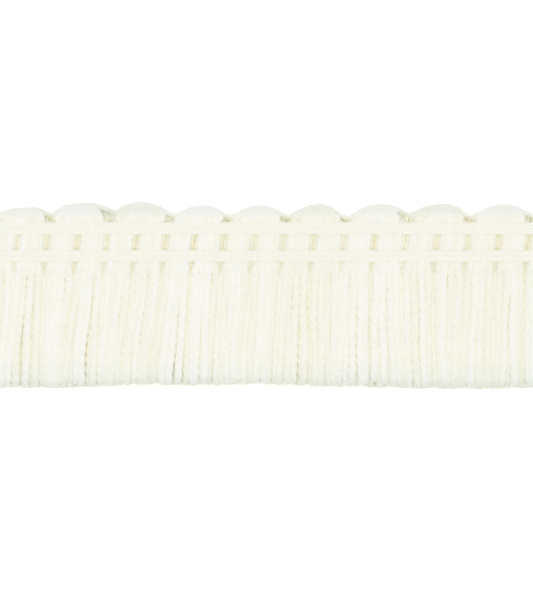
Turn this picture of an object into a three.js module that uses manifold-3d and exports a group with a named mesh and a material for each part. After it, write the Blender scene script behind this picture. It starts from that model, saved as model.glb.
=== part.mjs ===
// Brush fringe trim: a cut length lying face up, in millimetres.
// X runs along the trim, Y points to the scalloped edge and Z out of the face.
// The origin is the middle of the lower warp band's flat back.
import * as THREE from "three";
import { mergeVertices } from "three/addons/utils/BufferGeometryUtils.js";
import Module from "manifold-3d";

const wasm = await Module();
wasm.setup();

// Driving dimensions.
const SCALLOPS = 11;
const PITCH = 5.29; // between two bundles of yarn, two bundles to a scallop
const GAP = 1.1; // open slit between two bundles
const SLANT = 0.13; // shift along X for each millimetre up the heading
const YARNS = 4; // side by side across one bundle
const CLEAR = 0.3; // between two pieces

// The two warp bands, each two yarns wide.
const LOWER_BAND = { bottom: -1.13, top: 1.13 };
const UPPER_BAND = { bottom: 3.69, top: 5.93 };
const SLIT_Y = (LOWER_BAND.top + UPPER_BAND.bottom) / 2; // where the scallops' places are measured
const BAND = { face: 3.8, valley: 3.45, side: 3.4, dip: 0.4, shoulder: 1.6, overhang: 0.8 };

// A bundle's thickness: full where it lies free, pinched where the bands hold it.
const FULL = { inset: 0, top: 3.3, bottom: 0.4, groove: 0.32, edge: 0.75 };
const PINCHED = { inset: 0.15, top: 2.6, bottom: 0.95, groove: 0.15, edge: 0.35 };
const PINCH_RUN = 0.1; // pinched this far outside a band
const BACK_INNER = 0.95; // the flat back's two edges, as shares of the way in from the outer edge
const BACK_OUTER = 0.1;

// The fringe. Each of its layers, from the front, has strands of so many sides, in sections at these
// steps from root to cut, that fill this share of their lane and are shifted by this share of it. The
// root and lie pairs are the heights of a strand's underside and top where it starts and where it lies.
const ROOT_Y = -2.35; // lower end of the fused roots
const STRAND_GAP = 0.3; // between two tufts
const FIRST_LEAN = -0.5;
const END_UNEVEN = 0.18; // how much the cut ends differ
const LAYERS = [
  { sides: 4, steps: [0, 0.14, 0.5, 1], fill: 0.8, shift: 0, root: [2.2, 2.95], lie: [2.3, 3.25] },
  { sides: 3, steps: [0, 0.14, 1], fill: 0.76, shift: 0.1, root: [1.45, 2.1], lie: [1.15, 2.15] },
  { sides: 3, steps: [0, 0.14, 1], fill: 0.76, shift: -0.1, root: [0.7, 1.3], lie: [0, 1] },
];

// One row for each scallop: its shift along X, the height of its crest and of the notch to its right,
// how far the partings below its middle and its right side lean at the cut, and the cut's own height.
const SCALLOP_ROWS = [
  { shift: 0.15, crest: 9.0, notch: 7.4, midLean: -0.8, sideLean: -1.2, cut: -23.0 },
  { shift: 0.37, crest: 8.5, notch: 7.6, midLean: -1.4, sideLean: -0.7, cut: -23.03 },
  { shift: 0.41, crest: 9.4, notch: 8.3, midLean: -2.2, sideLean: -0.9, cut: -22.93 },
  { shift: 0.12, crest: 9.45, notch: 7.42, midLean: -2.0, sideLean: -2.5, cut: -22.4 },
  { shift: -0.23, crest: 8.8, notch: 7.12, midLean: -0.8, sideLean: -0.9, cut: -22.55 },
  { shift: -0.37, crest: 8.8, notch: 7.3, midLean: -1.2, sideLean: -0.9, cut: -22.33 },
  { shift: -0.4, crest: 9.2, notch: 7.07, midLean: 0.0, sideLean: -0.6, cut: -22.75 },
  { shift: -0.3, crest: 9.02, notch: 7.9, midLean: 0.1, sideLean: 0.5, cut: -22.9 },
  { shift: 0.07, crest: 9.14, notch: 7.23, midLean: 0.2, sideLean: -0.9, cut: -23.2 },
  { shift: 0.37, crest: 9.14, notch: 7.4, midLean: -0.4, sideLean: -0.4, cut: -23.15 },
  { shift: 0.3, crest: 8.9, notch: 7.5, midLean: 0.2, sideLean: -0.3, cut: -22.9 },
];

// One row for each section of the arch over a scallop, before the slant: the outer and inner edges of the
// yarns in front, and the outer edge of the yarns behind them, which fill the notch.
const ARCH_CREST = 9.18; // the crest and the notch that the rows below are drawn for
const ARCH_NOTCH = 7.4;
const ARCH_ROWS = [
  { outerX: -4.4, outerY: 6.5, innerX: -0.5, innerY: 6.2, backX: -5.0, backY: 6.3 },
  { outerX: -4.1, outerY: 7.35, innerX: -0.42, innerY: 6.28, backX: -5.05, backY: 7.3 },
  { outerX: -3.6, outerY: 8.05, innerX: -0.3, innerY: 6.33, backX: -4.1, backY: 7.7 },
  { outerX: -2.2, outerY: 8.79, innerX: -0.16, innerY: 6.37, backX: -2.3, backY: 8.65 },
  { outerX: 0, outerY: 9.18, innerX: 0, innerY: 6.38, backX: 0, backY: 9.05 },
  { outerX: 2.2, outerY: 8.79, innerX: 0.16, innerY: 6.37, backX: 2.3, backY: 8.65 },
  { outerX: 3.7, outerY: 8.05, innerX: 0.3, innerY: 6.33, backX: 4.1, backY: 7.8 },
  { outerX: 4.25, outerY: 7.35, innerX: 0.42, innerY: 6.28, backX: 5.05, backY: 7.4 },
  { outerX: 4.4, outerY: 6.5, innerX: 0.5, innerY: 6.2, backX: 5.0, backY: 6.3 },
];

const mix = (a, b, t) => a + (b - a) * t;
const smooth = (t) => t * t * (3 - 2 * t);
const slant = (y) => SLANT * (y - SLIT_Y);

// An uneven number from -1 to 1 that is always the same for the same place.
function uneven(seed) {
  const wave = Math.sin(seed * 12.9898) * 43758.5453;
  return 2 * (wave - Math.floor(wave)) - 1;
}

// Where a scallop's middle lies, measured at the height of the slits.
const scallopX = (k) => (k - (SCALLOPS - 1) / 2) * 2 * PITCH + SCALLOP_ROWS[k].shift;

// The slits between the bundles, from the left end: odd ones are under a crest, even ones under a notch.
function slitX(n) {
  if (n === 0) return scallopX(0) - PITCH;
  if (n === 2 * SCALLOPS) return scallopX(SCALLOPS - 1) + PITCH;
  if (n % 2) return scallopX((n - 1) / 2);
  return (scallopX(n / 2 - 1) + scallopX(n / 2)) / 2;
}

function slitLean(n) {
  if (n === 0) return FIRST_LEAN;
  const row = SCALLOP_ROWS[Math.floor((n - 1) / 2)];
  return n % 2 ? row.midLean : row.sideLean;
}

// The height of the cut, from scallop to scallop.
function cutY(x) {
  const along = x / (2 * PITCH) + (SCALLOPS - 1) / 2;
  const k = Math.min(Math.max(Math.floor(along), 0), SCALLOPS - 2);
  return mix(SCALLOP_ROWS[k].cut, SCALLOP_ROWS[k + 1].cut, Math.min(Math.max(along - k, 0), 1));
}

// A closed solid through rings of points, each ring in the same order, with flat ends.
function loft(rings) {
  const count = rings[0].length;
  const positions = rings.flat().flatMap((p) => [p.x, p.y, p.z]);
  const faces = [];
  for (let r = 0; r + 1 < rings.length; r++) {
    for (let i = 0; i < count; i++) {
      const j = (i + 1) % count;
      const a = r * count;
      const b = a + count;
      faces.push(a + i, b + i, b + j, a + i, b + j, a + j);
    }
  }
  const last = (rings.length - 1) * count;
  for (const [i, j, k] of flatEnd(rings[0])) faces.push(i, j, k);
  for (const [i, j, k] of flatEnd(rings.at(-1))) faces.push(last + i, last + k, last + j);
  const made = solid(positions, faces);
  return made.volume() > 0 ? made : solid(positions, faces.reverse());
}

// The triangles of a ring's flat end, turned the same way as the ring.
function flatEnd(ring) {
  const normal = new THREE.Vector3();
  for (let i = 0; i < ring.length; i++) normal.add(ring[i].clone().cross(ring[(i + 1) % ring.length]));
  const side = ring[1].clone().sub(ring[0]).normalize();
  const up = normal.normalize().clone().cross(side);
  const outline = ring.map((p) => new THREE.Vector2(p.dot(side), p.dot(up)));
  return THREE.ShapeUtils.triangulateShape(outline, []);
}

// A closed surface as a solid that can be joined and cut.
function solid(positions, faces) {
  const geometry = new THREE.BufferGeometry();
  geometry.setAttribute("position", new THREE.Float32BufferAttribute(positions, 3));
  geometry.setIndex(faces);
  const merged = mergeVertices(geometry);
  const vertProperties = merged.attributes.position.array;
  const triVerts = new Uint32Array(merged.index.array);
  return new wasm.Manifold(new wasm.Mesh({ numProp: 3, vertProperties, triVerts }));
}

function meshOf(name, made, material) {
  const { vertProperties, triVerts } = made.getMesh();
  const geometry = new THREE.BufferGeometry();
  geometry.setAttribute("position", new THREE.BufferAttribute(vertProperties, 3));
  geometry.setIndex(new THREE.BufferAttribute(triVerts, 1));
  const mesh = new THREE.Mesh(geometry, material);
  mesh.name = name;
  return mesh;
}

const pileYarn = () => new THREE.MeshStandardMaterial({ color: 0xf4f3e4, roughness: 0.95, metalness: 0 });
const warpYarn = () => new THREE.MeshStandardMaterial({ color: 0xf3f2e5, roughness: 0.95, metalness: 0 });

// A section of a bundle: four ridges from the outer to the inner edge in front, plain behind.
function bundleRing({ outer, inner, back, form }) {
  const ring = [];
  const parts = 2 * YARNS;
  for (let i = 0; i <= parts; i++) {
    const across = i / parts;
    const drop = i === 0 || i === parts ? form.edge : i % 2 ? 0 : form.groove;
    const x = mix(outer.x, inner.x, across);
    const y = mix(outer.y, inner.y, across);
    ring.push(new THREE.Vector3(x, y, form.top - drop));
  }
  for (const share of [BACK_INNER, BACK_OUTER]) {
    ring.push(new THREE.Vector3(mix(back.x, inner.x, share), mix(back.y, inner.y, share), form.bottom));
  }
  ring.push(new THREE.Vector3(back.x, back.y, form.bottom + form.edge));
  return ring;
}

// A leg's sections from its root to the arch. side is -1 for the left leg and 1 for the right.
function legSections(k, side) {
  const heights = [
    [ROOT_Y, FULL],
    [LOWER_BAND.bottom - PINCH_RUN, PINCHED],
    [LOWER_BAND.top + PINCH_RUN, PINCHED],
    [SLIT_Y, FULL],
    [UPPER_BAND.bottom - PINCH_RUN, PINCHED],
    [UPPER_BAND.top + PINCH_RUN, PINCHED],
  ];
  const outerSlit = slitX(2 * k + 1 + side);
  const innerSlit = slitX(2 * k + 1);
  return heights.map(([y, form]) => {
    const inset = side * (GAP / 2 + form.inset);
    const outer = { x: outerSlit - inset + slant(y), y };
    const inner = { x: innerSlit + inset + slant(y), y };
    return { outer, inner, back: outer, form };
  });
}

// The arch's sections, stretched to this scallop's own crest and to the notches beside it, and slanted.
function archSections(k) {
  const base = UPPER_BAND.top;
  const stretch = (SCALLOP_ROWS[k].crest - base) / (ARCH_CREST - base);
  const place = (x, y) => {
    const notch = SCALLOP_ROWS[x < 0 && k > 0 ? k - 1 : k].notch;
    const sideStretch = (notch - base) / (ARCH_NOTCH - base);
    const height = base + (y - base) * mix(stretch, sideStretch, Math.abs(x) / PITCH);
    return { x: scallopX(k) + x + slant(height), y: height };
  };
  return ARCH_ROWS.map((row) => ({
    outer: place(row.outerX, row.outerY),
    inner: place(row.innerX, row.innerY),
    back: place(row.backX, row.backY),
    form: FULL,
  }));
}

// One cut strand of a tuft: a tapered bar with three or four sides.
function strand(leg, layer, yarn) {
  const seed = leg * LAYERS.length * YARNS + LAYERS.indexOf(layer) * YARNS + yarn;
  const rings = layer.steps.map((step) => {
    const spread = Math.min(step / layer.steps[1], 1);
    const edge = mix(GAP, STRAND_GAP, spread) / 2;
    const start = slant(ROOT_Y);
    const left = slitX(leg) + start + slitLean(leg) * smooth(step) + edge;
    const right = slitX(leg + 1) + start + slitLean(leg + 1) * smooth(step) - edge;
    const x = mix(left, right, (yarn + 0.5 + layer.shift) / YARNS);
    const half = (layer.fill * (right - left)) / YARNS / 2;
    const bottom = mix(layer.root[0], layer.lie[0], spread);
    const top = mix(layer.root[1], layer.lie[1], spread);
    const y = mix(ROOT_Y, cutY(x) + END_UNEVEN * uneven(seed), step);
    return layer.sides === 4
      ? [
          new THREE.Vector3(x - half, y, (bottom + top) / 2),
          new THREE.Vector3(x, y, top),
          new THREE.Vector3(x + half, y, (bottom + top) / 2),
          new THREE.Vector3(x, y, bottom),
        ]
      : [
          new THREE.Vector3(x - half, y, bottom),
          new THREE.Vector3(x, y, top),
          new THREE.Vector3(x + half, y, bottom),
        ];
  });
  return loft(rings.reverse());
}

// One loop of pile yarn: two legs joined by the arch, with a cut tuft fused to the foot of each leg.
function pileLoop(k) {
  const sections = [...legSections(k, -1), ...archSections(k), ...legSections(k, 1).reverse()];
  let loop = loft(sections.map(bundleRing));
  for (const leg of [2 * k, 2 * k + 1]) {
    for (const layer of LAYERS) {
      for (let yarn = 0; yarn < YARNS; yarn++) loop = loop.add(strand(leg, layer, yarn));
    }
  }
  return loop;
}

// The way a bundle takes through a band.
function tunnel(leg, band) {
  const side = GAP / 2 + PINCHED.inset - CLEAR;
  const low = PINCHED.bottom - CLEAR;
  const high = PINCHED.top + CLEAR;
  const ring = (y) => {
    const left = slitX(leg) + side + slant(y);
    const right = slitX(leg + 1) - side + slant(y);
    return [
      new THREE.Vector3(left, y, low),
      new THREE.Vector3(left, y, high),
      new THREE.Vector3(right, y, high),
      new THREE.Vector3(right, y, low),
    ];
  };
  return loft([ring(band.bottom - CLEAR), ring(band.top + CLEAR)]);
}

// A warp band: two yarns side by side that swell over each bundle and dip into each slit.
function warpBand(band) {
  const middle = (band.bottom + band.top) / 2;
  const half = (band.top - band.bottom) / 2;
  const ring = (x, dip) => [
    new THREE.Vector3(x, middle - half, 0),
    new THREE.Vector3(x, middle - half, BAND.side - dip),
    new THREE.Vector3(x, middle - half / 2, BAND.face - dip),
    new THREE.Vector3(x, middle, BAND.valley - dip),
    new THREE.Vector3(x, middle + half / 2, BAND.face - dip),
    new THREE.Vector3(x, middle + half, BAND.side - dip),
    new THREE.Vector3(x, middle + half, 0),
  ];
  const lastSlit = 2 * SCALLOPS;
  const rings = [ring(slitX(0) + slant(middle) - BAND.overhang, BAND.dip)];
  for (let leg = 0; leg < lastSlit; leg++) {
    const centre = (slitX(leg) + slitX(leg + 1)) / 2 + slant(middle);
    rings.push(ring(slitX(leg) + slant(middle), BAND.dip));
    rings.push(ring(centre - BAND.shoulder, 0));
    rings.push(ring(centre + BAND.shoulder, 0));
  }
  rings.push(ring(slitX(lastSlit) + slant(middle), BAND.dip));
  rings.push(ring(slitX(lastSlit) + slant(middle) + BAND.overhang, BAND.dip));
  let made = loft(rings);
  for (let leg = 0; leg < lastSlit; leg++) made = made.subtract(tunnel(leg, band));
  return made;
}

const trim = new THREE.Group();
trim.name = "brush_fringe_trim";
const pile = pileYarn();
for (let k = 0; k < SCALLOPS; k++) {
  const name = `loop_${String(k + 1).padStart(2, "0")}`;
  trim.add(meshOf(name, pileLoop(k), pile));
}
const warp = warpYarn();
trim.add(meshOf("band_lower", warpBand(LOWER_BAND), warp));
trim.add(meshOf("band_upper", warpBand(UPPER_BAND), warp));

export default trim;
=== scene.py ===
"""Brush fringe trim, lying face up. Every yarn of its loops and warp bands is twisted from two plies."""

import math
import random
from collections import namedtuple

import bmesh
import bpy
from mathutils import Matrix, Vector


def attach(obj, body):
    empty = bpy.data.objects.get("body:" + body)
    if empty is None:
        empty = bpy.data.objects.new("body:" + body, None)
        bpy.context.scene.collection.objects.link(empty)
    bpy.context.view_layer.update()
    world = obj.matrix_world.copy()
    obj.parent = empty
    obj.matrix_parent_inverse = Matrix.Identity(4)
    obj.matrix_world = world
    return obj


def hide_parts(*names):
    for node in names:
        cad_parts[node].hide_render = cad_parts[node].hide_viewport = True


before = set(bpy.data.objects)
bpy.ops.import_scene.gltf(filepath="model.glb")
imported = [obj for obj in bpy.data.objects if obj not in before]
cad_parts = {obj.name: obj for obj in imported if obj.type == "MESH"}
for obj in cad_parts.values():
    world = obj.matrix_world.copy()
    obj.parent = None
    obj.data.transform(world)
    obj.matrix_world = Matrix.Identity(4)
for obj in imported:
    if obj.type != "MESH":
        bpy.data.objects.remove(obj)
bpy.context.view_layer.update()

# All sizes are in millimetres, and MM turns them into Blender's metres.
MM = 0.001

# The trim's driving sizes, as in its solids.
SCALLOPS = 11
PITCH = 5.29  # between two bundles of yarn, two bundles to a scallop
SLANT = 0.13  # shift along X for each millimetre up the heading
LANES = 4  # yarns side by side across one bundle
LOWER_BAND = (-1.13, 1.13)
UPPER_BAND = (3.69, 5.93)
SLIT_Y = (LOWER_BAND[1] + UPPER_BAND[0]) / 2  # where the scallops' places are measured
BAND_OVERHANG = 0.8  # how far a band reaches past the last bundle
ROOT_Y = -2.35  # where the fringe starts
FIRST_LEAN = -0.5  # of the trim's left side at the cut
END_UNEVEN = 0.18  # how much the cut ends differ

# One row for each scallop: its shift along X, the heights of its crest and of the notch to its right, how
# far the partings below its middle and its right side lean at the cut, the cut's own height, and how far its
# crest and the notch to its right stand aside.
Scallop = namedtuple("Scallop", "shift crest notch mid_lean side_lean cut crest_aside notch_aside")
SCALLOP_ROWS = [
    Scallop(0.15, 9.0, 7.4, -0.8, -1.2, -23.0, 0.3, -0.2),
    Scallop(0.37, 8.2, 7.6, -1.4, -0.7, -23.03, 1.3, -0.45),
    Scallop(0.41, 9.12, 8.2, -2.2, -0.9, -22.93, -1.3, 0.1),
    Scallop(0.12, 9.45, 7.42, -2.0, -2.5, -22.4, 0.74, 0.95),
    Scallop(-0.23, 8.8, 7.12, -0.8, -0.9, -22.55, 0.88, 0.78),
    Scallop(-0.37, 8.8, 7.3, -1.2, -0.9, -22.33, 0.1, 0.0),
    Scallop(-0.4, 9.2, 7.07, 0.0, -0.6, -22.75, 0.28, -0.09),
    Scallop(-0.3, 9.02, 7.9, 0.1, 0.5, -22.9, -0.6, -0.5),
    Scallop(0.07, 9.14, 7.23, 0.2, -0.9, -23.2, 1.1, -0.2),
    Scallop(0.37, 9.14, 7.4, -0.4, -0.4, -23.15, 0.1, 0.1),
    Scallop(0.3, 8.9, 7.5, 0.2, -0.3, -22.9, 0.4, 0.0),
]
ASIDE_RISE = 1.5  # this far above the upper band, an arch stands fully aside

# The yarns' radii, and how far inside its bundle's side a yarn's path stays, as a share of its radius.
YARN_RADIUS = 0.8
HEADING_RADIUS = 0.83
ARCH_RADIUS = 1.05
PINCHED_RADIUS = 0.62
SNUG, TUFT_SNUG = 0.95, 0.85

# The three layers of a bundle, from the front: heights where the bands pinch it, where it lies free in the
# heading, at its root, over the arch and in the fringe, how far apart two bundles stay, which outline its
# arch follows, and where its yarns lie across the tuft. ACROSS is where they lie in the heading. Both count
# from 0 at the left side to 1 at the right.
FRONT, MIDDLE, BACK = range(3)
ACROSS = (0, 0.333, 0.667, 1)
LAYERS = [
    dict(pinched=2.4, free=3.0, root=3.0, arch=2.65, fringe=2.5, gap=1.0, outline="outer", tuft=ACROSS),
    dict(
        pinched=1.8, free=1.95, root=2.18, arch=2.0, fringe=1.72, gap=-0.12, outline="outer",
        tuft=(-0.17, 0.17, 0.5, 0.83),
    ),
    dict(pinched=1.3, free=1.3, root=1.4, arch=0.62, fringe=0.84, gap=-0.15, outline="behind", tuft=ACROSS),
]

# One row for each section of the arch, from its left foot over the crest to its right foot: the outline,
# the inner edge and the outline of the hindmost layer, which reaches under both notches, and how far the
# yarns nearest the rim sink there. The left flank sinks below the scallop before it, the right one stays high
# and ends steeply. The rows are drawn for the crest and the notch given here.
ARCH_CREST = 9.18
ARCH_NOTCH = 7.4
ARCH_ROWS = [
    dict(outer=(-4.6, 6.4), inner=(-0.45, 6.1), behind=(-5.3, 6.3), sink=1.0),
    dict(outer=(-4.3, 7.15), inner=(-0.3, 6.15), behind=(-5.2, 6.9), sink=0.9),
    dict(outer=(-3.4, 7.95), inner=(-0.2, 6.2), behind=(-4.0, 7.5), sink=0.45),
    dict(outer=(-2.05, 8.74), inner=(-0.1, 6.25), behind=(-2.2, 8.5), sink=0.15),
    dict(outer=(0.0, 9.18), inner=(0.05, 6.27), behind=(0.0, 9.0), sink=0.1),
    dict(outer=(2.05, 8.82), inner=(0.15, 6.25), behind=(2.2, 8.55), sink=0.1),
    dict(outer=(3.6, 8.05), inner=(0.3, 6.2), behind=(4.0, 7.6), sink=0.15),
    dict(outer=(4.15, 7.3), inner=(0.4, 6.15), behind=(5.2, 6.9), sink=0.2),
    dict(outer=(4.28, 6.4), inner=(0.45, 6.1), behind=(5.3, 6.3), sink=0.15),
]
INNER_MARGIN = 0.2  # between the innermost yarn's path and the inner edge

# The outermost yarn of each layer hugs the outline, bridges the notch to the next scallop and dives under its
# flank, so that the notch is a deep pit: its outer edge, how far it sinks, and its radius, which is at least
# HIDDEN_RIM in the two layers behind. RIM_HEIGHTS has its height in each layer.
RIM_ROWS = [
    (-4.2, 6.3, 0.9, 0.5),
    (-4.45, 7.2, 0.8, 0.5),
    (-3.65, 8.0, 0.4, 0.5),
    (-2.4, 8.55, 0.1, 0.55),
    (-1.0, 9.05, 0.0, 0.6),
    (0.7, 9.15, 0.0, 0.6),
    (2.3, 8.75, 0.0, 0.57),
    (3.8, 8.18, 0.0, 0.5),
    (5.0, 7.62, 0.05, 0.28),
    (6.0, 7.22, 0.5, 0.26),
    (6.6, 6.7, 1.2, 0.36),
    (6.1, 6.1, 1.6, 0.45),
]
RIM_HEIGHTS = (2.7, 2.0, 1.3)
HIDDEN_RIM = 0.42
RIM_DRAWN_IN = 0.6  # share of its radius by which it is drawn in along X at a notch

# The sections of a leg from its root up through both bands: height, how tightly it is pinched from 0 to 1,
# how wide the slit beside it is, as a share of its layer's gap, and which of the layer's heights it lies at.
BAND_EDGE = 0.05  # just outside a band
BAND_DEPTH = 0.4  # this far inside a band's edge it pinches most
PINCH = 0.65
LEG_ROWS = [
    (LOWER_BAND[0] - 0.85, 0, 0.6, "root"),
    (LOWER_BAND[0] - BAND_EDGE, 0, 0.98, "root"),
    (LOWER_BAND[0] + BAND_DEPTH, PINCH, 1.05, "free"),
    (LOWER_BAND[1] - BAND_DEPTH, PINCH, 1.08, "free"),
    (LOWER_BAND[1] + BAND_EDGE, 0, 1.03, "free"),
    (SLIT_Y, 0, 1, "free"),
    (UPPER_BAND[0] - BAND_EDGE, 0, 1.03, "free"),
    (UPPER_BAND[0] + BAND_DEPTH, PINCH, 1.08, "free"),
    (UPPER_BAND[1] - BAND_DEPTH, 0.5, 1.08, "free"),
]

# The fringe, in sections from the cut end at 1 to the root at 0. Its yarns have spread out of the root by
# SPREAD_STEP. Two front tufts stay TUFT_GAP apart at the root, give or take PARTING at the cut.
FRINGE_STEPS = (1, 0.88, 0.76, 0.64, 0.52, 0.4, 0.28, 0.16, 0.08, 0.03, 0)
SPREAD_STEP = 0.06
TUFT_GAP = 0.5
PARTING = 0.4
HIDDEN_LOOSE = 0.12  # how much the yarns behind stir, as a share of those in front
HIDDEN_THICKER = 1.15  # the yarns behind are this much thicker, so that no light shows between them
YARN_SPREAD = (0.92, 1.06)  # the thinnest and the thickest yarn, as shares of YARN_RADIUS
SWING = (0.06, 0.26)  # how far a yarn swings to either side, from the stillest to the loosest
SHORT_WAVE, LONG_WAVE = 7, 3.1  # its two waves from root to cut, in radians
LIFT = (-0.13, 0.1)  # how far it may lie below or above its layer
SIDE_SINK = 0.2  # how much lower the two outer yarns of a front tuft lie
ROOT_LIFT, CUT_LIFT = 0.5, 1.2  # how much of these two a yarn has at its root and at its cut end
WANDER = 0.03  # how far a yarn may lie off its lane, as a share of the tuft's width
TILT = 0.1  # how far it may lean aside by the cut, as such a share
MIDDLE_SHIFT = 0.1  # how far a tuft's two middle yarns may lie off together, as such a share
SHORTENED, SHORTENED_MORE = 0.1, 0.6  # all yarns are cut back this much, and front ones by up to this more

# The two warp yarns side by side in front of the bundles and the two behind: their heights, and how far they
# dip towards the bundles at each slit. Over the bundles they sway and swell a little.
BAND_RADIUS = 0.7
BAND_PAIRS = ((3.13, -0.16), (0.72, 0.2))
SLIT_BULGE = 0.03  # how far each yarn moves outwards at a slit
BAND_PLACES = (0.28, 0.72)  # where a yarn's points lie over each bundle, from slit to slit
BAND_SWAY = 0.07
BAND_SWELL = 0.05

# A yarn's path has points about every STEP, found on a curve of points about FINE_STEP apart.
STEP = 0.45
FINE_STEP = 0.1

# How a yarn is twisted from two plies: the share of its radius that a ply takes in the fringe and in the
# heading, the length below the root over which that changes, and how the plies open and thin at a cut end.
TWIST_LENGTH = 3.4
TWIST_START = 2.4  # each yarn's twist starts this much further round than the last one's, in radians
FRINGE_PLY = 0.78
HEADING_PLY = 0.88
PLY_RUN = 1.5
OPEN_LENGTH = 1.4
OPEN_SPREAD = 0.35
OPEN_THIN = 0.12
PLY_ROUND, FIBRE_ROUND = 2, 0  # how finely plies and fibres are rounded

# The fibres that stand off a yarn along its length, and those that spread where it was cut.
FIBRE_RADIUS = 0.022
FIBRE_LENGTH = (0.6, 1.7)
FIBRE_ROOT = 0.8  # share of the yarn's radius at which a fibre starts
FIBRE_RISE = (0.1, 0.45)  # how far it stands off
FIBRE_CURL = 1.9  # how far it curls over by its end, in radians
FIBRE_TAPER, CUT_FIBRE_TAPER = 0.5, 0.6  # how much thinner a fibre is at its end
FIBRE_DRIFT = 0.4  # how far it may drift to either side by its end
CUT_FIBRE_LENGTH = (0.08, 0.4)
CUT_FIBRE_SPREAD = 0.5  # how far it may spread, as a share of its length
CUT_FIBRE_DEPTH = 0.1  # how far inside the cut it starts
CUT_FIBRE_THICKER = 1.3
LOOP_FIBRES, LOOP_CUT_FIBRES = 260, 9  # loose ones on a loop, and spread ones at each cut end
BAND_FIBRES, BAND_CUT_FIBRES = 500, 60

# Painted shade: tints that multiply the yarn's own colour, each with the places between which it comes in:
# warmer deep below the arches, along Z and Y; darker and cooler near the tips and along the crests, both
# along
# Y; and darker where a cut end is, as shares of the yarn's length from its nearer end.
PAINTED_DEEP_SHADE, DEEP, BELOW_ARCH = (0.997, 0.985, 0.94), (2.7, 1.9), (6, 5.5)
PAINTED_TIP_SHADE, TIPS = (0.94, 0.965, 0.985), (-18, -22.5)
PAINTED_CREST_SHADE, CRESTS = (0.91, 0.934, 0.95), (6.6, 8.1)
PAINTED_CUT_SHADE, CUT_SHADE_REACH = (0.92, 0.93, 0.9), (0.02, 0.004)

# The camera has the photo's scale and frame.
PIXEL = 0.17582
PHOTO_WIDTH, PHOTO_HEIGHT = 533, 596
ORIGIN_ROW = 256  # the photo's row at the trim's own y of 0
MIDDLE_X = 1.93  # the trim's own x at the frame's middle
FOCAL_LENGTH = 200
FACE_Z = 3  # height of the trim's face


def mix(a, b, share):
    return a + (b - a) * share


def clamp(share):
    return min(max(share, 0), 1)


def smooth(share):
    return share * share * (3 - 2 * share)


def slant(y):
    return SLANT * (y - SLIT_Y)


def scallop_x(scallop):
    return (scallop - (SCALLOPS - 1) / 2) * 2 * PITCH + SCALLOP_ROWS[scallop].shift


def slit_x(slit):
    """Where a slit between two bundles lies; odd ones are under a crest."""
    if slit == 0:
        return scallop_x(0) - PITCH
    if slit == 2 * SCALLOPS:
        return scallop_x(SCALLOPS - 1) + PITCH
    if slit % 2:
        return scallop_x((slit - 1) // 2)
    return (scallop_x(slit // 2 - 1) + scallop_x(slit // 2)) / 2


def slit_lean(slit):
    """How far the parting below a slit leans over by the cut."""
    if slit == 0:
        return FIRST_LEAN
    row = SCALLOP_ROWS[(slit - 1) // 2]
    return row.mid_lean if slit % 2 else row.side_lean


def cut_y(x):
    """The height of the cut, straight from below one scallop's middle to the next."""
    along = x / (2 * PITCH) + (SCALLOPS - 1) / 2
    left = min(max(math.floor(along), 0), SCALLOPS - 2)
    return mix(SCALLOP_ROWS[left].cut, SCALLOP_ROWS[left + 1].cut, clamp(along - left))


def uneven(seed):
    """A number from -1 to 1 that is always the same for the same seed, as the solids take for a cut end."""
    wave = math.sin(seed * 12.9898) * 43758.5453
    return 2 * (wave - math.floor(wave)) - 1


def parting(layer, slit, step):
    """How far two tufts stay apart below a slit; in front some open towards the cut ends, others close."""
    if layer["gap"] < TUFT_GAP:
        return layer["gap"]
    return TUFT_GAP + PARTING * step * uneven(1.9 * slit + 0.4)


def fringe_points(leg, layer_index, lane, chance):
    """From the cut end up to the root, as (x, y, z, radius). The lanes count from the left."""
    layer = LAYERS[layer_index]
    in_front = layer_index == FRONT
    seed = leg * len(LAYERS) * LANES + layer_index * LANES + lane
    phase = chance.uniform(0, math.tau)
    loose = 1 if in_front else HIDDEN_LOOSE
    swing = loose * chance.uniform(*SWING)
    lift = chance.uniform(*LIFT)
    wander = loose * chance.uniform(-WANDER, WANDER)
    tilt = loose * chance.uniform(-TILT, TILT)
    if lane in (1, 2):
        wander += MIDDLE_SHIFT * loose * uneven(leg + 0.5)
    elif in_front:
        lift -= SIDE_SINK
    radius = YARN_RADIUS * chance.uniform(*YARN_SPREAD)
    if not in_front:
        radius *= HIDDEN_THICKER
    short = SHORTENED
    if in_front:
        short += SHORTENED_MORE * max(uneven(2.3 * leg + lane // 2), 0)
    start = slant(ROOT_Y)
    points = []
    for step in FRINGE_STEPS:
        spread = smooth(min(step / SPREAD_STEP, 1))
        lean = smooth(step)
        left = slit_x(leg) + start + slit_lean(leg) * lean + parting(layer, leg, step) / 2
        right = slit_x(leg + 1) + start + slit_lean(leg + 1) * lean - parting(layer, leg + 1, step) / 2
        share = mix(ACROSS[lane], layer["tuft"][lane] + wander + tilt * step, spread)
        x = mix(left + TUFT_SNUG * radius, right - TUFT_SNUG * radius, share)
        x += swing * spread * math.sin(phase + SHORT_WAVE * step) * math.sin(0.6 * phase + LONG_WAVE * step)
        y = mix(ROOT_Y, cut_y(x) + short + END_UNEVEN * uneven(seed), step)
        height = mix(layer["root"], layer["fringe"] + lift * mix(ROOT_LIFT, CUT_LIFT, step), spread)
        points.append((x, y, max(height, radius), mix(HEADING_RADIUS, radius, spread)))
    return points


def leg_points(leg, layer, lane):
    """From the root up through both bands, as (x, y, z, radius). The lanes count from the left."""
    points = []
    for y, pinch, wide, place in LEG_ROWS:
        gap = layer["gap"] * wide if layer["gap"] > 0 else layer["gap"]
        radius = mix(HEADING_RADIUS, PINCHED_RADIUS, pinch)
        inset = gap / 2 + SNUG * radius
        x = mix(slit_x(leg) + inset, slit_x(leg + 1) - inset, ACROSS[lane]) + slant(y)
        z = mix(layer[place], layer["pinched"], pinch)
        points.append((x, y, z, radius))
    return points


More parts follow.
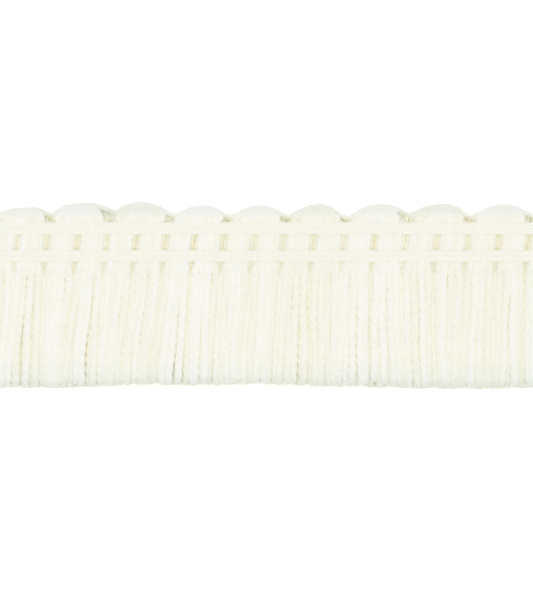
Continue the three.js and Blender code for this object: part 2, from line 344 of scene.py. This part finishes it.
def notch_row(scallop, x):
    """The row with the notch on that side of the scallop's middle."""
    return SCALLOP_ROWS[scallop - 1 if x < 0 and scallop > 0 else scallop]


def scallop_height(scallop, x, y):
    """A height in the arch, stretched to its own crest and notches."""
    base = UPPER_BAND[1]
    stretch = (SCALLOP_ROWS[scallop].crest - base) / (ARCH_CREST - base)
    side_stretch = (notch_row(scallop, x).notch - base) / (ARCH_NOTCH - base)
    return base + (y - base) * mix(stretch, side_stretch, min(abs(x) / PITCH, 1))


def aside(scallop, x, y):
    """How far a point of the arch stands aside with its crest and its notches."""
    crest = SCALLOP_ROWS[scallop].crest_aside
    side = notch_row(scallop, x).notch_aside
    return clamp((y - UPPER_BAND[1]) / ASIDE_RISE) * mix(crest, side, min(abs(x) / PITCH, 1))


def arch_points(scallop, layer_index, lane):
    """From the left leg over the arch to the right one, for the lanes inside the rim, outermost first."""
    layer = LAYERS[layer_index]
    step = (lane - 0.5) / (LANES - 1) if layer_index == MIDDLE else (lane - 1) / (LANES - 2)
    radius = HEADING_RADIUS if layer_index == BACK else ARCH_RADIUS
    points = []
    for row in ARCH_ROWS:
        outer, inner = row[layer["outline"]], row["inner"]
        width = math.dist(outer, inner)
        share = mix(SNUG * radius / width, 1 - INNER_MARGIN / width, step)
        x = mix(outer[0], inner[0], share)
        y = scallop_height(scallop, x, mix(outer[1], inner[1], share))
        z = layer["arch"] - row["sink"] * (1 - lane / (LANES - 1)) ** 2
        x += scallop_x(scallop) + aside(scallop, x, y) + slant(y)
        points.append((x, y, max(z, radius), radius))
    return points


def rim_points(scallop, layer_index):
    """The same for the rim's lane, whose yarn hugs the outline."""
    points = []
    for x, y, sink, radius in RIM_ROWS:
        radius = radius if layer_index == FRONT else max(radius, HIDDEN_RIM)
        y = scallop_height(scallop, x, y) - radius
        x = x * (1 - RIM_DRAWN_IN * radius / PITCH)
        x += scallop_x(scallop) + aside(scallop, x, y) + slant(y)
        points.append((x, y, max(RIM_HEIGHTS[layer_index] - sink, radius), radius))
    return points


def pile_yarn(scallop, layer_index, lane):
    """One yarn of a loop, from one cut end over the arch to the other."""
    chance = random.Random(1000 * scallop + 10 * layer_index + lane)
    layer = LAYERS[layer_index]
    mirrored = LANES - 1 - lane
    leg = 2 * scallop
    left = fringe_points(leg, layer_index, lane, chance) + leg_points(leg, layer, lane)
    right = fringe_points(leg + 1, layer_index, mirrored, chance) + leg_points(leg + 1, layer, mirrored)
    over = arch_points(scallop, layer_index, lane) if lane else rim_points(scallop, layer_index)
    return left + over + right[::-1]


def band_paths(band):
    """The warp yarns of a band: two side by side in front and two behind, dipping at each slit."""
    middle = (band[0] + band[1]) / 2
    offset = (band[1] - band[0]) / 2 - BAND_RADIUS
    paths = []
    for z, dip in BAND_PAIRS:
        for side in (-1, 1):
            y = middle + side * offset
            slits = [slit_x(slit) + slant(y) for slit in range(2 * SCALLOPS + 1)]
            at_slit = (y + side * SLIT_BULGE, z + dip, BAND_RADIUS)
            points = [(slits[0] - BAND_OVERHANG, y, z + dip, BAND_RADIUS)]
            for leg, (left, right) in enumerate(zip(slits, slits[1:])):
                points.append((left, *at_slit))
                for number, across in enumerate(BAND_PLACES):
                    sway = uneven(middle + 3.7 * side + 2 * leg + number)
                    radius = BAND_RADIUS * (1 + BAND_SWELL * sway)
                    points.append((mix(left, right, across), y + BAND_SWAY * sway, z, radius))
            points.append((slits[-1], *at_slit))
            points.append((slits[-1] + BAND_OVERHANG, y, z + dip, BAND_RADIUS))
            paths.append(even_path(points))
    return paths


def keep_above_floor(place, radius):
    """Lifts a place on a yarn or fibre of that radius that would sink into the floor."""
    place.z = max(place.z, radius)


def even_path(points):
    """A smooth path through the points, in even steps, as (place, radius, length so far)."""
    nodes = [Vector(point[:3]) for point in points]
    radii = [point[3] for point in points]
    dense = []
    for i in range(len(nodes) - 1):
        before = nodes[max(i - 1, 0)]
        after = nodes[min(i + 2, len(nodes) - 1)]
        here, there = nodes[i], nodes[i + 1]
        pieces = max(2, math.ceil((there - here).length / FINE_STEP))
        for j in range(pieces):
            t = j / pieces
            spot = 0.5 * (
                2 * here
                + (there - before) * t
                + (2 * before - 5 * here + 4 * there - after) * t * t
                + (3 * here - before - 3 * there + after) * t * t * t
            )
            dense.append((spot, mix(radii[i], radii[i + 1], t)))
    dense.append((nodes[-1], radii[-1]))
    lengths = [0.0]
    for (a, _), (b, _) in zip(dense, dense[1:]):
        lengths.append(lengths[-1] + (b - a).length)
    count = max(2, round(lengths[-1] / STEP))
    path = []
    i = 0
    for number in range(count + 1):
        want = lengths[-1] * number / count
        while i < len(dense) - 2 and lengths[i + 1] < want:
            i += 1
        share = clamp((want - lengths[i]) / max(lengths[i + 1] - lengths[i], 1e-9))
        spot = dense[i][0].lerp(dense[i + 1][0], share)
        radius = mix(dense[i][1], dense[i + 1][1], share)
        keep_above_floor(spot, radius)
        path.append((spot, radius, want))
    return path


def outward(ahead, angle):
    """A direction square to a yarn's own, turned round it by the angle from the level one."""
    side = ahead.cross(Vector((0, 0, 1))).normalized()
    up = side.cross(ahead).normalized()
    return side * math.cos(angle) + up * math.sin(angle)


def plies(path, start):
    """The middle lines of the two plies that wind round a yarn's path and open where it is cut."""
    lines = ([], [])
    whole = path[-1][2]
    for i, (spot, radius, length) in enumerate(path):
        ahead = path[min(i + 1, len(path) - 1)][0] - path[max(i - 1, 0)][0]
        opened = max(0, 1 - min(length, whole - length) / OPEN_LENGTH)
        share = mix(FRINGE_PLY, HEADING_PLY, clamp((spot.y - ROOT_Y + PLY_RUN) / PLY_RUN))
        away = radius * (1 - share) * (1 + OPEN_SPREAD * opened)
        for ply, line in enumerate(lines):
            out = outward(ahead, math.tau * length / TWIST_LENGTH + start + math.pi * ply)
            line.append((spot + out * away, radius * share * (1 - OPEN_THIN * opened)))
    return lines


def tube_mesh(lines, resolution):
    """Tubes along the lines, each a list of places and radii."""
    curve = bpy.data.curves.new("tubes", "CURVE")
    curve.dimensions = "3D"
    curve.twist_mode = "Z_UP"
    curve.bevel_depth = MM
    curve.bevel_resolution = resolution
    curve.use_fill_caps = True
    for line in lines:
        spline = curve.splines.new("POLY")
        spline.points.add(len(line) - 1)
        for point, (spot, radius) in zip(spline.points, line):
            point.co = (spot.x * MM, spot.y * MM, spot.z * MM, 1)
            point.radius = radius
    route = bpy.data.objects.new("tubes", curve)
    bpy.context.scene.collection.objects.link(route)
    bpy.context.view_layer.update()
    graph = bpy.context.evaluated_depsgraph_get()
    mesh = bpy.data.meshes.new_from_object(route.evaluated_get(graph))
    bpy.data.objects.remove(route)
    return mesh


def loose_fibres(paths, count, chance):
    """Fine fibres that stand off the yarns along their whole length."""
    lines = []
    for _ in range(count):
        path = chance.choice(paths)
        i = chance.randrange(2, len(path) - 2)
        spot, radius, _ = path[i]
        ahead = (path[i + 1][0] - path[i - 1][0]).normalized() * chance.choice((-1, 1))
        out = outward(ahead, chance.uniform(0, math.tau))
        drift = ahead.cross(out) * chance.uniform(-FIBRE_DRIFT, FIBRE_DRIFT)
        length = chance.uniform(*FIBRE_LENGTH)
        rise = chance.uniform(*FIBRE_RISE)
        line = []
        for t in (0, 0.33, 0.67, 1):
            off = FIBRE_ROOT * radius + rise * math.sin(FIBRE_CURL * t)
            place = spot + out * off + ahead * length * t + drift * t * t
            keep_above_floor(place, FIBRE_RADIUS)
            line.append((place, FIBRE_RADIUS * (1 - FIBRE_TAPER * t)))
        lines.append(line)
    return lines


def cut_fibres(paths, count, chance):
    """The fibres that spread where each yarn was cut."""
    lines = []
    for path in paths:
        for (spot, radius, _), (inside, _, _) in ((path[0], path[1]), (path[-1], path[-2])):
            ahead = (spot - inside).normalized()
            for _ in range(count):
                out = outward(ahead, chance.uniform(0, math.tau))
                off = radius * math.sqrt(chance.random())
                length = chance.uniform(*CUT_FIBRE_LENGTH)
                spread = chance.uniform(0, CUT_FIBRE_SPREAD) * length
                line = []
                for t in (0, 0.5, 1):
                    place = spot + out * (off + spread * t * t) + ahead * (length * t - CUT_FIBRE_DEPTH)
                    keep_above_floor(place, FIBRE_RADIUS)
                    line.append((place, CUT_FIBRE_THICKER * FIBRE_RADIUS * (1 - CUT_FIBRE_TAPER * t)))
                lines.append(line)
    return lines


def all_fibres(paths, loose, cut, seed):
    """So many loose fibres over all the yarns, and so many spread ones at each cut end."""
    chance = random.Random(seed)
    return loose_fibres(paths, loose, chance) + cut_fibres(paths, cut, chance)


def yarn_piece(name, paths, fibres, material):
    """A mesh of two-ply yarns along the paths, with their fibres. Its shade differs from yarn to yarn."""
    chance = random.Random(name)
    parts = []
    for number, path in enumerate(paths):
        parts.append((tube_mesh(plies(path, TWIST_START * number), PLY_ROUND), chance.random()))
    parts.append((tube_mesh(fibres, FIBRE_ROUND), 1.0))
    shape = bmesh.new()
    tone = shape.verts.layers.float.new("shade")
    for part, shade in parts:
        first = len(shape.verts)
        shape.from_mesh(part)
        shape.verts.ensure_lookup_table()
        for vert in shape.verts[first:]:
            vert[tone] = shade
    # The last part is the fibres. They read a yarn's middle, so that none takes the painted shade of a cut
    # end.
    shape.verts.index_update()
    along = shape.loops.layers.uv.active
    for face in shape.faces:
        if face.verts[0].index >= first:
            for corner in face.loops:
                corner[along].uv = (0.5, 0)
    mesh = bpy.data.meshes.new(name)
    shape.to_mesh(mesh)
    shape.free()
    mesh.materials.append(material)
    mesh.shade_smooth()
    piece = bpy.data.objects.new(name, mesh)
    bpy.context.scene.collection.objects.link(piece)
    return piece


def yarn_material(name, pale, warm):
    """Soft matt yarn, streaked along each ply, and each yarn of its own tone. Painted shade makes it warmer
    deep inside the heading and the fringe, darker and cooler along the crests and towards the cut ends, and
    darker at each cut end."""
    material = bpy.data.materials.new(name)
    material.use_nodes = True
    nodes = material.node_tree.nodes

    def add(kind, inputs, **settings):
        """A node with its settings, whose inputs are numbers, colours or the outputs that feed them."""
        node = nodes.new(kind)
        for key, value in settings.items():
            setattr(node, key, value)
        for key, value in inputs.items():
            if isinstance(value, bpy.types.NodeSocket):
                material.node_tree.links.new(value, node.inputs[key])
            else:
                node.inputs[key].default_value = value
        return node

    def rise(value, start, end):
        """From 0 where the value is at its start to 1 where it is at its end."""
        inputs = {"Value": value, "From Min": start, "From Max": end}
        return add("ShaderNodeMapRange", inputs).outputs["Result"]

    def tinted(colour, tint, amount):
        inputs = {"A": colour, "B": (*tint, 1), "Factor": amount}
        return add("ShaderNodeMix", inputs, data_type="RGBA", blend_type="MULTIPLY").outputs["Result"]

    coords = nodes.new("ShaderNodeTexCoord")
    place = add("ShaderNodeSeparateXYZ", {"Vector": coords.outputs["Object"]})
    on_yarn = add("ShaderNodeSeparateXYZ", {"Vector": coords.outputs["UV"]})
    yarn = add("ShaderNodeAttribute", {}, attribute_name="shade")

    stretched = add("ShaderNodeMapping", {"Vector": coords.outputs["UV"], "Scale": (26, 55, 1)})
    strand_inputs = {"Vector": stretched.outputs["Vector"], "Scale": 1, "Detail": 4, "Roughness": 0.65}
    strands = add("ShaderNodeTexNoise", strand_inputs).outputs["Fac"]
    patch_inputs = {"Vector": coords.outputs["Object"], "Scale": 420, "Detail": 2, "Roughness": 0.5}
    patches = add("ShaderNodeTexNoise", patch_inputs).outputs["Fac"]
    mottled = add("ShaderNodeMix", {"Factor": 0.5, "A": strands, "B": patches}).outputs["Result"]
    tone = add("ShaderNodeMix", {"Factor": 0.34, "A": mottled, "B": yarn.outputs["Fac"]}).outputs["Result"]
    ramp = add("ShaderNodeValToRGB", {"Fac": tone})
    for stop, position, colour in zip(ramp.color_ramp.elements, (0.38, 0.62), (warm, pale)):
        stop.position = position
        stop.color = (*colour, 1)

    # Painted shade: deep in the heading and the fringe, where yarns lie between others, the colour turns
    # warmer.
    deep = rise(place.outputs["Z"], DEEP[0] * MM, DEEP[1] * MM)
    below_arch = rise(place.outputs["Y"], BELOW_ARCH[0] * MM, BELOW_ARCH[1] * MM)
    deep_shade_mask = add("ShaderNodeMath", {0: deep, 1: below_arch}, operation="MULTIPLY").outputs["Value"]
    # Painted shade: darker and cooler towards the fringe's tips.
    tip_shade_mask = rise(place.outputs["Y"], TIPS[0] * MM, TIPS[1] * MM)
    # Painted shade: darker and cooler along the crests, where the rim turns from the light.
    crest_shade_mask = rise(place.outputs["Y"], CRESTS[0] * MM, CRESTS[1] * MM)
    # Painted shade: darker over the last small share of each yarn's length, at its cut ends.
    from_end = add("ShaderNodeMath", {0: on_yarn.outputs["X"], 1: 0.5}, operation="PINGPONG").outputs["Value"]
    colour = tinted(ramp.outputs["Color"], PAINTED_DEEP_SHADE, deep_shade_mask)
    colour = tinted(colour, PAINTED_TIP_SHADE, tip_shade_mask)
    colour = tinted(colour, PAINTED_CREST_SHADE, crest_shade_mask)
    colour = tinted(colour, PAINTED_CUT_SHADE, rise(from_end, *CUT_SHADE_REACH))

    matt = add("ShaderNodeMapRange", {"Value": strands, "To Min": 0.6, "To Max": 0.85})
    bump = add("ShaderNodeBump", {"Height": strands, "Strength": 0.6, "Distance": 0.04 * MM})
    shader = nodes["Principled BSDF"]
    shader.inputs["Specular IOR Level"].default_value = 0.35
    shader.inputs["Sheen Weight"].default_value = 0.2
    shader.inputs["Sheen Roughness"].default_value = 0.6
    for key, value in (
        ("Base Color", colour),
        ("Roughness", matt.outputs["Result"]),
        ("Normal", bump.outputs["Normal"]),
    ):
        material.node_tree.links.new(value, shader.inputs[key])
    return material


def look_down(x, y, width, height, focal):
    """A camera straight above, whose view is width by height at the trim's face."""
    camera = bpy.data.cameras.new("camera")
    camera.sensor_fit = "VERTICAL"
    camera.sensor_height = 36
    camera.lens = focal
    camera.clip_end = 10
    holder = bpy.data.objects.new("camera", camera)
    distance = height * focal / camera.sensor_height
    holder.location = (x * MM, y * MM, distance * MM + FACE_Z * MM)
    bpy.context.scene.collection.objects.link(holder)
    bpy.context.scene.camera = holder


def pale_floor():
    """The surface that the trim lies on."""
    bpy.ops.mesh.primitive_plane_add(size=3, location=(0, 0, 0))
    floor = bpy.context.object
    floor.name = "floor"
    material = bpy.data.materials.new("floor")
    material.use_nodes = True
    shader = material.node_tree.nodes["Principled BSDF"]
    shader.inputs["Base Color"].default_value = (0.98, 0.98, 0.98, 1)
    shader.inputs["Roughness"].default_value = 1
    shader.inputs["Emission Color"].default_value = (1, 1, 1, 1)
    shader.inputs["Emission Strength"].default_value = 0.12
    floor.data.materials.append(material)


def studio_light():
    """A wide soft lamp above, and white light from all around."""
    light = bpy.data.lights.new("softbox", "AREA")
    light.shape = "DISK"
    light.size = 0.5
    light.energy = 3.8
    lamp = bpy.data.objects.new("softbox", light)
    lamp.location = (0, 0, 2)
    bpy.context.scene.collection.objects.link(lamp)
    world = bpy.data.worlds.new("studio")
    world.use_nodes = True
    background = world.node_tree.nodes["Background"]
    background.inputs["Color"].default_value = (1, 1, 1, 1)
    background.inputs["Strength"].default_value = 0.876
    scene = bpy.context.scene
    scene.world = world
    scene.view_settings.view_transform = "Standard"
    scene.cycles.diffuse_bounces = 24
    scene.cycles.max_bounces = 24


look_down(
    MIDDLE_X,
    (ORIGIN_ROW - PHOTO_HEIGHT / 2) * PIXEL,
    PHOTO_WIDTH * PIXEL,
    PHOTO_HEIGHT * PIXEL,
    FOCAL_LENGTH,
)
pale_floor()
studio_light()

pile = yarn_material("pile_yarn", (0.985, 0.98, 0.915), (0.962, 0.952, 0.838))
warp = yarn_material("warp_yarn", (0.98, 0.974, 0.898), (0.968, 0.96, 0.862))

for scallop in range(SCALLOPS):
    paths = []
    for layer_index in range(len(LAYERS)):
        for lane in range(LANES):
            paths.append(even_path(pile_yarn(scallop, layer_index, lane)))
    node = f"loop_{scallop + 1:02d}"
    fibres = all_fibres(paths, LOOP_FIBRES, LOOP_CUT_FIBRES, 7000 + scallop)
    piece = yarn_piece(f"pile_{scallop + 1:02d}", paths, fibres, pile)
    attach(piece, "root")
    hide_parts(node)

for node, band in (("band_lower", LOWER_BAND), ("band_upper", UPPER_BAND)):
    paths = band_paths(band)
    fibres = all_fibres(paths, BAND_FIBRES, BAND_CUT_FIBRES, node)
    piece = yarn_piece(node.replace("band", "warp"), paths, fibres, warp)
    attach(piece, "root")
    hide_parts(node)
